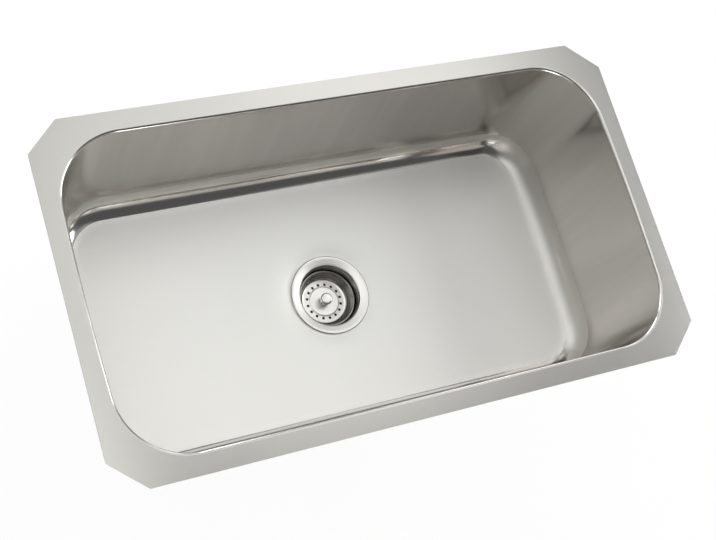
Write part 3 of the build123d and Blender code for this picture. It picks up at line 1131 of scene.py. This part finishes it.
@dataclass
class DrainCup:
    """The strainer's pressed cup with its rolled thread, its crossbar and the nut under the sink."""

    # its colour is painted dark, as painted shade inside the cup
    steel: bpy.types.Material
    satin: bpy.types.Material
    putty: bpy.types.Material
    rubber: bpy.types.Material
    fibre: bpy.types.Material
    brass: bpy.types.Material
    sheet: float = 1.0
    flange_r: float = 57.15
    flange_z: float = -217.2
    flat_r: float = 53.5
    satin_band: Point = (44.3, 55.7)
    satin_drop: float = 2.4
    funnel_r: float = 46.8
    funnel_drop: float = 1.6
    cup_r: float = 43.0
    seat_z: float = -262.0
    floor_fall: float = 2.6
    outlet_r: float = 20.8
    outlet_end_z: float = -290.0
    edge_drop: float = 1.7
    wall_drop: float = 6.0
    wall_step: float = 0.35
    wall_rows: int = 86
    collar_top_z: float = -276.0
    collar_wall: float = 1.4

    def build_cup(self) -> bpy.types.Object:
        """Make the pressed cup: flange, funnel, threaded wall, seat and outlet.

        Returns:
            The cup's object.
        """
        slope = self.funnel_drop / (self.flat_r - self.funnel_r)
        foot_z = self.flange_z - (self.flat_r - self.cup_r) * slope
        outlet_z = self.seat_z - self.floor_fall
        top = [(self.flange_r, self.flange_z - self.edge_drop), (self.flange_r, self.flange_z)]
        top += [(self.flat_r, self.flange_z), (self.cup_r, foot_z)]
        wall_top = foot_z - self.wall_drop
        wall = [(self.cup_r, wall_top - row * self.wall_step) for row in range(self.wall_rows)]
        floor = [(self.cup_r, self.seat_z), (self.outlet_r, outlet_z), (self.outlet_r, self.outlet_end_z)]
        points = top + wall + floor
        radii = [0.0, 1.6, 6.0, 4.8] + [0.0] * len(wall) + [7.0, 3.0, 0.0]
        cup = lathe("strainer_cup", sheet_profile(points, radii, self.sheet), segments=180)
        cup_thread = RolledThread("cup_thread", pitch=3.2, depth=0.42, top_z=-225.0, end_z=-256.0)
        cup_thread.apply(cup, self.steel)
        collar_r = self.outlet_r + self.collar_wall
        collar = [(self.outlet_r, self.collar_top_z), (collar_r, self.collar_top_z)]
        collar += [(collar_r, self.outlet_end_z), (self.outlet_r, self.outlet_end_z)]
        sleeve = lathe("outlet_thread", self.fine_wall(collar), segments=120)
        outlet_thread = RolledThread(
            "outlet_thread", pitch=2.2, depth=0.35, top_z=-277.0, end_z=-289.5, fade=0.8
        )
        outlet_thread.apply(sleeve, self.steel)
        hand_over(cup, [self.steel, self.satin], "sink", "strainer_body")
        hand_over(sleeve, [self.steel], "sink", "strainer_body")
        inner, outer = (radius * MM for radius in self.satin_band)
        for face in cup.data.polygons:
            radius = math.hypot(face.center.x, face.center.y)
            if inner < radius < outer and face.center.z > (self.flange_z - self.satin_drop) * MM:
                face.material_index = 1
        return cup

    def fine_wall(self, corners: Sequence[Point]) -> list[Point]:
        """Divide a four-cornered profile's outer side, so that it can carry a thread.

        Args:
            corners: Inner top, outer top, outer end and inner end.

        Returns:
            The closed profile.
        """
        inner_top, (radius, top_z), (_, end_z), inner_end = corners
        steps = 44
        side = [(radius, top_z + (end_z - top_z) * k / steps) for k in range(steps + 1)]
        return [inner_top, *side, inner_end]

    def build_crossbar(self) -> bpy.types.Object:
        """Make the ring, hub and four arms that guide the basket's post.

        Returns:
            The crossbar's object.
        """
        top_z, thickness, hub_r, bore_r, ring_in = -270.0, 2.5, 8.6, 6.0, 19.2
        overlap, arm_wide, arm_lower = 0.8, 2.8, 0.3
        hub = lathe("outlet_cross", self.flat_ring(bore_r, hub_r, top_z, thickness), segments=96)
        RingPattern(
            "cross_arms",
            RingJob.JOIN,
            count=4,
            circle_r=(ring_in + hub_r) / 2,
            height=top_z - thickness / 2,
            size=(ring_in - hub_r + overlap, arm_wide, thickness - arm_lower),
        ).apply(hub, self.steel)
        outline = self.flat_ring(ring_in, self.outlet_r, top_z, thickness)
        ring = lathe("outlet_cross_ring", outline, segments=96)
        for piece in (hub, ring):
            hand_over(piece, [self.steel], "sink", "outlet_crossbar")
        return hub

    def flat_ring(
        self, inner: float, outer: float, top_z: float, thickness: float, edge: float = 0.4
    ) -> list[Point]:
        """The closed profile of a flat ring with softened edges.

        Args:
            inner: Inner radius.
            outer: Outer radius.
            top_z: Height of the upper face.
            thickness: Height of the ring.
            edge: Radius of the edges.

        Returns:
            The profile's points.
        """
        low = top_z - thickness
        corners = [(inner, top_z), (outer, top_z), (outer, low), (inner, low)]
        return round_corners(corners, [edge] * 4, closed=True, turn_step=22.5)

    def build_seals(self) -> None:
        """Make the putty bead, the rubber washer and the fibre ring."""
        bead = [(51.5, -218.8), (55.6, -218.8), (56.5, -219.5), (51.5, -219.5)]
        putty = round_corners(bead, [0.2, 0.3, 0.2, 0.1], closed=True)
        rubber = self.flat_ring(50.7, 58.5, top_z=-220.7, thickness=4.0, edge=0.9)
        fibre = self.flat_ring(44.95, 57.5, top_z=-224.7, thickness=1.0, edge=0.2)
        rings = [
            ("putty_bead", putty, self.putty, "putty_ring", "putty"),
            ("rubber_seal", rubber, self.rubber, "rubber_washer", "seal_rubber"),
            ("fibre_ring", fibre, self.fibre, "friction_ring", "fibre"),
        ]
        for name, profile, material, node, slot in rings:
            hand_over(lathe(name, profile), [material], "sink", node)

    def build_locknut(self) -> bpy.types.Object:
        """Make the cast nut with its six lugs, which pulls the cup down on its seals.

        Returns:
            The nut's object.
        """
        top_z, end_z = -225.7, -239.7
        bore_r, wall_r, collar_r, collar_z = 44.95, 51.0, 55.0, top_z - 3.0
        corners = [(bore_r, top_z), (collar_r, top_z), (collar_r, collar_z), (wall_r, collar_z)]
        corners += [(wall_r, end_z), (bore_r, end_z)]
        profile = round_corners(corners, [0.5, 0.8, 0.6, 1.0, 0.8, 0.5], closed=True, turn_step=30)
        nut = lathe("seal_locknut", profile, segments=120)
        RingPattern(
            "locknut_lugs",
            RingJob.JOIN,
            count=6,
            circle_r=54.2,
            height=(top_z + end_z) / 2,
            size=(8.6, 7.6, top_z - end_z - 0.8),
        ).apply(nut, self.brass)
        cast_edge, sharpest_left = 0.8, 50.0
        soften = nut.modifiers.new("cast_edges", "BEVEL")
        soften.width = cast_edge * MM
        soften.segments = 2
        soften.limit_method = "ANGLE"
        soften.angle_limit = math.radians(sharpest_left)
        settle(nut, [soften])
        hand_over(nut, [self.brass], "sink", "locknut")
        return nut

    def build(self) -> None:
        """Make every piece of the drain that stays in the sink."""
        self.build_cup()
        self.build_crossbar()
        self.build_seals()
        self.build_locknut()


@dataclass
class TailOutlet:
    """The plated tube under the strainer, its washer and its coupling nut."""

    chrome: bpy.types.Material
    rubber: bpy.types.Material
    bore_r: float = 18.15
    tube_r: float = 19.05
    lip_r: float = 22.2
    lip_thick: float = 1.2
    washer_thick: float = 2.0
    seat_z: float = -292.0
    end_z: float = -393.6

    def build(self) -> None:
        """Make the tailpiece and its washer, and give the part's coupling nut its chrome."""
        bore, wall, lip = self.bore_r, self.tube_r, self.lip_r
        seat_z, lip_z, end_z = self.seat_z, self.seat_z - self.lip_thick, self.end_z
        tube = [(lip, seat_z), (lip, lip_z), (wall, lip_z), (wall, end_z), (bore, end_z), (bore, seat_z)]
        outline = round_corners(tube, [0.3, 0.4, 0.8, 0.2, 0.2, 0.3], closed=True, turn_step=22.5)
        tail = lathe("tail_tube", outline)
        hand_over(tail, [self.chrome], "sink", "tailpiece")
        top_z = seat_z + self.washer_thick
        square = [(bore, top_z), (lip, top_z), (lip, seat_z), (bore, seat_z)]
        washer = lathe("tail_washer", round_corners(square, [0.4] * 4, closed=True, turn_step=30))
        hand_over(washer, [self.rubber], "sink", "outlet_washer")
        wear(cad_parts["coupling_nut"], self.chrome)
        LOG.info("coupling nut dressed")


@dataclass
class LiftOutBasket:
    """The strainer basket: holed dish, knob, post, rubber stopper and the sleeve that clicks home."""

    steel: bpy.types.Material
    # its colour is painted pale, as painted light on the basket's floor
    floor_steel_painted_light: bpy.types.Material
    # its colour is painted dark, as painted shade on the basket's wall
    wall_steel_painted_shade: bpy.types.Material
    rubber: bpy.types.Material
    plastic: bpy.types.Material
    sheet: float = 0.6
    floor_z: float = -250.0
    boss_r: float = 20.8
    boss_rise: float = 1.7
    floor_cone: float = 0.9
    flat_r: float = 27.0
    wall_r: float = 31.8
    bend_r: float = 10.0
    flare: float = 10.0
    rim_z: float = -233.5
    lip: float = 2.6
    post_r: float = 3.0
    holes: int = 16
    hole_r: float = 2.0
    hole_circle_r: float = 25.0
    cone_gap: float = 1.4

    def build_dish(self) -> bpy.types.Object:
        """Make the basket's dish and punch its ring of holes.

        Returns:
            The dish's object.
        """
        boss_z = self.floor_z + self.boss_rise
        reach = self.bend_r * math.tan(math.radians(90 - self.flare) / 2)
        foot_r = self.flat_r + reach
        rim_r = foot_r + (self.rim_z - self.floor_z) * math.tan(math.radians(self.flare))
        lip_r = rim_r + self.lip
        points = [(lip_r, self.rim_z - self.sheet), (lip_r, self.rim_z), (rim_r, self.rim_z)]
        points += [(foot_r, self.floor_z), (self.boss_r + self.cone_gap, self.floor_z + self.floor_cone)]
        points += [(self.boss_r, boss_z), (self.post_r, boss_z)]
        radii = [0.0, 0.4, 1.2, self.bend_r, 1.0, 1.0, 0.0]
        dish = lathe("basket_dish", sheet_profile(points, radii, self.sheet), segments=160)
        punch_depth = 4.0
        RingPattern(
            "basket_holes",
            RingJob.CUT,
            count=self.holes,
            circle_r=self.hole_circle_r,
            height=self.floor_z,
            size=(2 * self.hole_r, 2 * self.hole_r, punch_depth),
            round_shape=True,
            start_angle=4.0,
        ).apply(dish, self.floor_steel_painted_light)
        hand_over(dish, [self.floor_steel_painted_light, self.wall_steel_painted_shade], "basket", "basket_bowl")
        # faces beyond the wall's radius take the painted-shade wall steel, the rest the painted-light floor
        # steel
        for face in dish.data.polygons:
            face.material_index = int(math.hypot(face.center.x, face.center.y) > self.wall_r * MM)
        return dish

    def build_knob(self) -> None:
        """Turn the knob: a foot, a waist and a thick round head."""
        foot_z = self.floor_z + self.boss_rise
        corners = [(0, -233.2), (8.4, -233.9), (8.4, -239.6), (4.3, -240.6), (4.3, foot_z + 2.6)]
        corners += [(6.2, foot_z + 1.2), (6.2, foot_z), (0, foot_z)]
        profile = round_corners(corners, [0, 2.0, 1.0, 1.2, 1.2, 0.5, 0.2, 0], closed=False)
        grip = lathe("basket_grip", profile, closed=False)
        hand_over(grip, [self.steel], "basket", "basket_knob")

    def build_post(self) -> None:
        """Turn the post, its end head, and the stopper that it carries with its backing washer."""
        post = [(0, -249.0), (3, -249.0), (3, -281), (4.6, -281), (4.6, -282.4), (3, -284), (0, -284)]
        profile = round_corners(post, [0, 0.2, 0.2, 0.3, 0.5, 0.8, 0], closed=False, turn_step=30)
        rod = lathe("basket_rod", profile, closed=False, segments=64)
        hand_over(rod, [self.steel], "basket", "basket_post")
        stopper = [(3.0, -250.6), (19.0, -250.6), (31.8, -260.4), (31.2, -263.0), (28.6, -263.0)]
        stopper += [(14.6, -255.6), (3.0, -255.6)]
        profile = round_corners(stopper, [0, 5.0, 0.9, 0.4, 0.6, 3.0, 0], closed=True)
        hand_over(lathe("rubber_stopper", profile), [self.rubber], "basket", "stopper")
        plate = [(3.0, -255.6), (12.0, -255.6), (12.0, -256.6), (3.0, -256.6)]
        washer = round_corners(plate, [0, 0.3, 0.3, 0], closed=True, turn_step=30)
        backing = lathe("stopper_backing", washer, segments=96)
        flats = [(3.47, -256.6), (5.77, -256.6), (5.77, -261.4), (3.47, -261.4)]
        outline = round_corners(flats, [0, 0.3, 0.3, 0], closed=True, turn_step=45)
        hexagon = lathe("stopper_nut", outline, segments=6)
        for piece in (backing, hexagon):
            hand_over(piece, [self.steel], "basket")

    def build_sleeve(self) -> None:
        """Turn the split sleeve and saw its four slots."""
        sleeve = [(5.0, -265.0), (5.6, -273.0), (5.0, -281.0), (3.0, -281.0), (3.0, -265.0)]
        profile = round_corners(sleeve, [0.4, 8.0, 0.4, 0.1, 0.1], closed=True)
        piece = lathe("detent_collar", profile, segments=96)
        RingPattern(
            "sleeve_slots",
            RingJob.CUT,
            count=4,
            circle_r=5.0,
            height=-276.2,
            size=(5.0, 1.2, 10.4),
            start_angle=45.0,
        ).apply(piece, self.plastic)
        hand_over(piece, [self.plastic], "basket", "detent_sleeve")

    def build(self) -> None:
        """Make every piece that lifts out."""
        self.build_dish()
        self.build_knob()
        self.build_post()
        self.build_sleeve()


# ------------------------------------------------------------------ the studio


class LampPower(Enum):
    """The strengths that the soft lamps come in, in watts."""

    FULL = 48.0
    STRONG = 30.0
    MIDDLE = 15.0
    MILD = 10.0
    WEAK = 6.0
    TRACE = 2.5


@dataclass(frozen=True)
class SoftBox:
    """A round soft lamp on the studio's dome, aimed at the bowl."""

    power: LampPower
    azimuth: float
    elevation: float
    size: float
    distance: float = 3.0

    def hang(self) -> None:
        """Make the lamp and aim it at the middle of the mouth."""
        name = f"{self.power.name.lower()}_lamp_{self.azimuth:.0f}_{self.elevation:.0f}"
        lamp = bpy.data.lights.new(name, "AREA")
        lamp.shape = "DISK"
        lamp.size = self.size
        lamp.energy = self.power.value
        thing = bpy.data.objects.new(name, lamp)
        bpy.context.scene.collection.objects.link(thing)
        turn, lift = math.radians(self.azimuth), math.radians(self.elevation)
        way = Vector((math.cos(turn) * math.cos(lift), math.sin(turn) * math.cos(lift), math.sin(lift)))
        thing.location = way * self.distance
        thing.rotation_mode = "QUATERNION"
        thing.rotation_quaternion = way.to_track_quat("Z", "Y")
        thing.visible_camera = False


@dataclass
class Studio:
    """The white floor, the surround, the soft lamps and the camera."""

    lamps: tuple[SoftBox, ...]
    floor_z: float = -0.3937
    floor_reach: float = 60.0
    floor_white: float = 0.93
    fill: float = 0.1
    horizon_fade: Point = (2.0, 16.0)
    camera_place: tuple[float, float, float] = (-0.6698, -0.4146, 1.4988)
    camera_turn: tuple[float, float, float] = (19.470, -17.920, -17.473)
    lens: float = 67.702

    def build_floor(self) -> None:
        """Lay the white floor under the drain's tail.

        It keeps a faint shadow of the sink, and is clear from below, so that the underside shows.
        """
        mesh = bpy.data.meshes.new("studio_floor")
        reach = self.floor_reach
        corners = [(-reach, -reach), (reach, -reach), (reach, reach), (-reach, reach)]
        mesh.from_pydata([(x, y, self.floor_z) for x, y in corners], [], [(0, 1, 2, 3)])
        floor = link_object("studio_floor", mesh)
        material, tree, shader = new_material("white_paper_floor")
        shader.inputs["Base Color"].default_value = linear("#f4f4f2")
        shader.inputs["Roughness"].default_value = 0.9
        glow = add_node(tree, "ShaderNodeEmission", inputs={"Strength": 1.0})
        path = add_node(tree, "ShaderNodeLightPath").outputs
        shown = reckon(tree, "MAXIMUM", path["Is Camera Ray"], path["Is Glossy Ray"])
        seen = reckon(tree, "MAXIMUM", shown, path["Is Transmission Ray"])
        share = reckon(tree, "MULTIPLY", seen, self.floor_white)
        mixed = add_node(
            tree,
            "ShaderNodeMixShader",
            inputs={0: share, 1: shader.outputs["BSDF"], 2: glow.outputs["Emission"]},
        )
        under = add_node(tree, "ShaderNodeNewGeometry").outputs["Backfacing"]
        clear = add_node(tree, "ShaderNodeBsdfTransparent")
        one_way = add_node(
            tree,
            "ShaderNodeMixShader",
            inputs={0: under, 1: mixed.outputs["Shader"], 2: clear.outputs["BSDF"]},
        )
        output = next(node for node in tree.nodes if node.type == "OUTPUT_MATERIAL")
        tree.links.new(one_way.outputs["Shader"], output.inputs["Surface"])
        wear(floor, material)

    def build_world(self) -> None:
        """Set the surround: white at the horizon, fading to a dim even fill overhead."""
        world = bpy.data.worlds.new("studio_surround")
        bpy.context.scene.world = world
        world.use_nodes = True
        tree = world.node_tree
        tree.nodes.clear()
        way = add_node(tree, "ShaderNodeTexCoord").outputs["Generated"]
        height = add_node(tree, "ShaderNodeSeparateXYZ", inputs={"Vector": way}).outputs["Z"]
        low, high = (math.sin(math.radians(angle)) for angle in self.horizon_fade)
        glow = remap(tree, height, (1.0, self.fill), source=(low, high), smooth=True)
        around = add_node(tree, "ShaderNodeBackground", inputs={"Color": (1, 1, 1, 1), "Strength": glow})
        add_node(tree, "ShaderNodeOutputWorld", inputs={"Surface": around.outputs["Background"]})

    def build_camera(self) -> None:
        """Stand the camera where the photograph was taken from."""
        lens = bpy.data.cameras.new("camera")
        lens.sensor_width = 36.0
        lens.lens = self.lens
        lens.clip_start = 0.05
        lens.clip_end = 200.0
        camera = bpy.data.objects.new("camera", lens)
        bpy.context.scene.collection.objects.link(camera)
        camera.location = self.camera_place
        camera.rotation_euler = Euler([math.radians(a) for a in self.camera_turn], "XYZ")
        bpy.context.scene.camera = camera

    def build(self) -> None:
        """Build the whole studio."""
        self.build_camera()
        self.build_floor()
        self.build_world()
        for lamp in self.lamps:
            lamp.hang()
        bpy.context.scene.view_settings.view_transform = "Standard"


def light_plan() -> tuple[SoftBox, ...]:
    """Place the soft lamps in five rings that climb the dome, each as (power, azimuth).

    Returns:
        The lamps, from the lowest ring to the one overhead.
    """
    power = LampPower
    near_floor = [(power.MILD, 55), (power.FULL, 90), (power.STRONG, 125), (power.STRONG, 270)]
    # the one at the right end gives the right of the flange the largest share of its lamp light
    low = [(power.FULL, 0), (power.WEAK, 70), (power.WEAK, 145), (power.WEAK, 250)]
    middle = [(power.TRACE, 40), (power.MIDDLE, 120)]
    # the one behind, at 50, gives the other three sides of the flange most of their lamp light
    high = [(power.TRACE, 0), (power.MILD, 50), (power.MILD, 155)]
    overhead = [(power.MILD, 180)]
    rings = [
        (10, 1.3, near_floor),
        (26, 1.8, low),
        (44, 2.0, middle),
        (62, 2.0, high),
        (80, 1.6, overhead),
    ]
    return tuple(SoftBox(watts, turn, lift, size) for lift, size, ring in rings for watts, turn in ring)


def main() -> None:
    """Build the sink round its frame."""
    logging.basicConfig(level=logging.INFO, format="%(message)s")
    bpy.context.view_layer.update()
    skins = {
        # belt-brushed rim: fine lines along the sink and broad, soft highlights
        Zone.FLANGE: BrushedSteel(
            "belt_brushed_steel",
            colour="#cdccc7",
            roughness=0.24,
            anisotropy=0.3,
            tone_swing=0.05,
            roughness_swing=0.018,
            bump=0.001,
        ).build(),
        # steel drawn down the press tool: blurred mirror of the bowl, with broad upright streaks
        Zone.WALL: BrushedSteel(
            "satin_drawn_steel",
            colour="#c2beba",
            roughness=0.18,
            coordinates=Coordinates.UV,
            bump=0.002,
            streak_swing=0.05,
        ).build(),
        # bends burnished by the tool: bright and dark bands that run round the bowl
        Zone.BEND: BrushedSteel(
            "burnished_bend_steel",
            colour="#d8d7d2",
            roughness=0.14,
            coordinates=Coordinates.UV,
            bump=0.0,
            dull_end=(305.0, 352.0, 0.4),
        ).build(),
        # satin floor: even and pale in the photograph, like a matt face, so it is not all metal here; its
        # colour is painted paler than the rest of the sheet, as painted light on the floor
        Zone.FLOOR: BrushedSteel(
            "satin_floor_steel",
            colour="#f7f7f3",
            roughness=0.5,
            scratch_mm=0.6,
            length_mm=25.0,
            tone_swing=0.02,
            bump=0.0,
            metallic=0.45,
        ).build(),
        # mill finish, as rolled: dull grey with no clear reflections
        Zone.OUTSIDE: BrushedSteel("mill_finish_steel", colour="#b6b4ae", roughness=0.42).build(),
    }
    # polished cup: clear reflections of the basket and the light, on a colour painted dark as painted shade
    # inside the cup
    shaded_cup_steel = PolishedMetal("polished_cup_steel", colour="#918f8b", roughness=0.15).build()
    # satin face of the strainer's flange: an even pale ring
    cup_satin = BrushedSteel(
        "satin_flange_steel", colour="#efeee9", roughness=0.42, tone_swing=0.02
    ).build()
    # polished knob and post: small bright reflections of the lamps
    basket_steel = PolishedMetal("polished_basket_steel", roughness=0.14).build()
    # satin floor of the basket: its colour painted pale as painted light on the floor, so that its holes
    # read as dark dots
    basket_floor_painted_light = BrushedSteel(
        "satin_basket_steel", colour="#efeee9", roughness=0.36, tone_swing=0.02
    ).build()
    # drawn wall of the basket: its colour painted dark as painted shade inside the basket, a soft band round
    # the pale floor
    basket_wall_painted_shade = PolishedMetal("drawn_basket_steel", colour="#8c8a86", roughness=0.24).build()
    # chrome over brass: a cold, sharp mirror
    chrome = PolishedMetal(
        "chrome_plated_brass", colour="#c6c8ca", roughness=0.05, roughness_swing=0.02
    ).build()
    # cast brass, not machined: a dull yellow with a grainy skin
    brass = PolishedMetal("raw_cast_brass", colour="#b8944f", roughness=0.38, grain_mm=1.0, bump=0.3).build()
    # deadening pads: flat dark grey with no shine
    pad_rubber = SoftMatter("deadening_rubber", "#4a4a4c", "#525254", bump=0.4).build()
    # moulded seals: nearly black, with a faint sheen
    seal_rubber = SoftMatter("black_nitrile_rubber", "#232324", "#2b2b2c", roughness=0.55, bump=0.1).build()
    # putty: a dull cream bead with an uneven surface
    putty = SoftMatter("plumbers_putty", "#cfc5ae", "#c4b99f", bump=0.5).build()
    # pressed fibre: mottled tan
    fibre = SoftMatter("vulcanised_fibre", "#a5835b", "#94724c").build()
    # acetal sleeve: smooth milky white
    plastic = SoftMatter("white_acetal", "#dcdcd8", "#e2e2de", roughness=0.4, bump=0.05).build()
    PressedSink(skins).build()
    SoundPads(pad_rubber).dress()
    DrainCup(shaded_cup_steel, cup_satin, putty, seal_rubber, fibre, brass).build()
    TailOutlet(chrome, seal_rubber).build()
    LiftOutBasket(basket_steel, basket_floor_painted_light, basket_wall_painted_shade, seal_rubber, plastic).build()
    Studio(lamps=light_plan()).build()


if __name__ == "__main__":
    main()
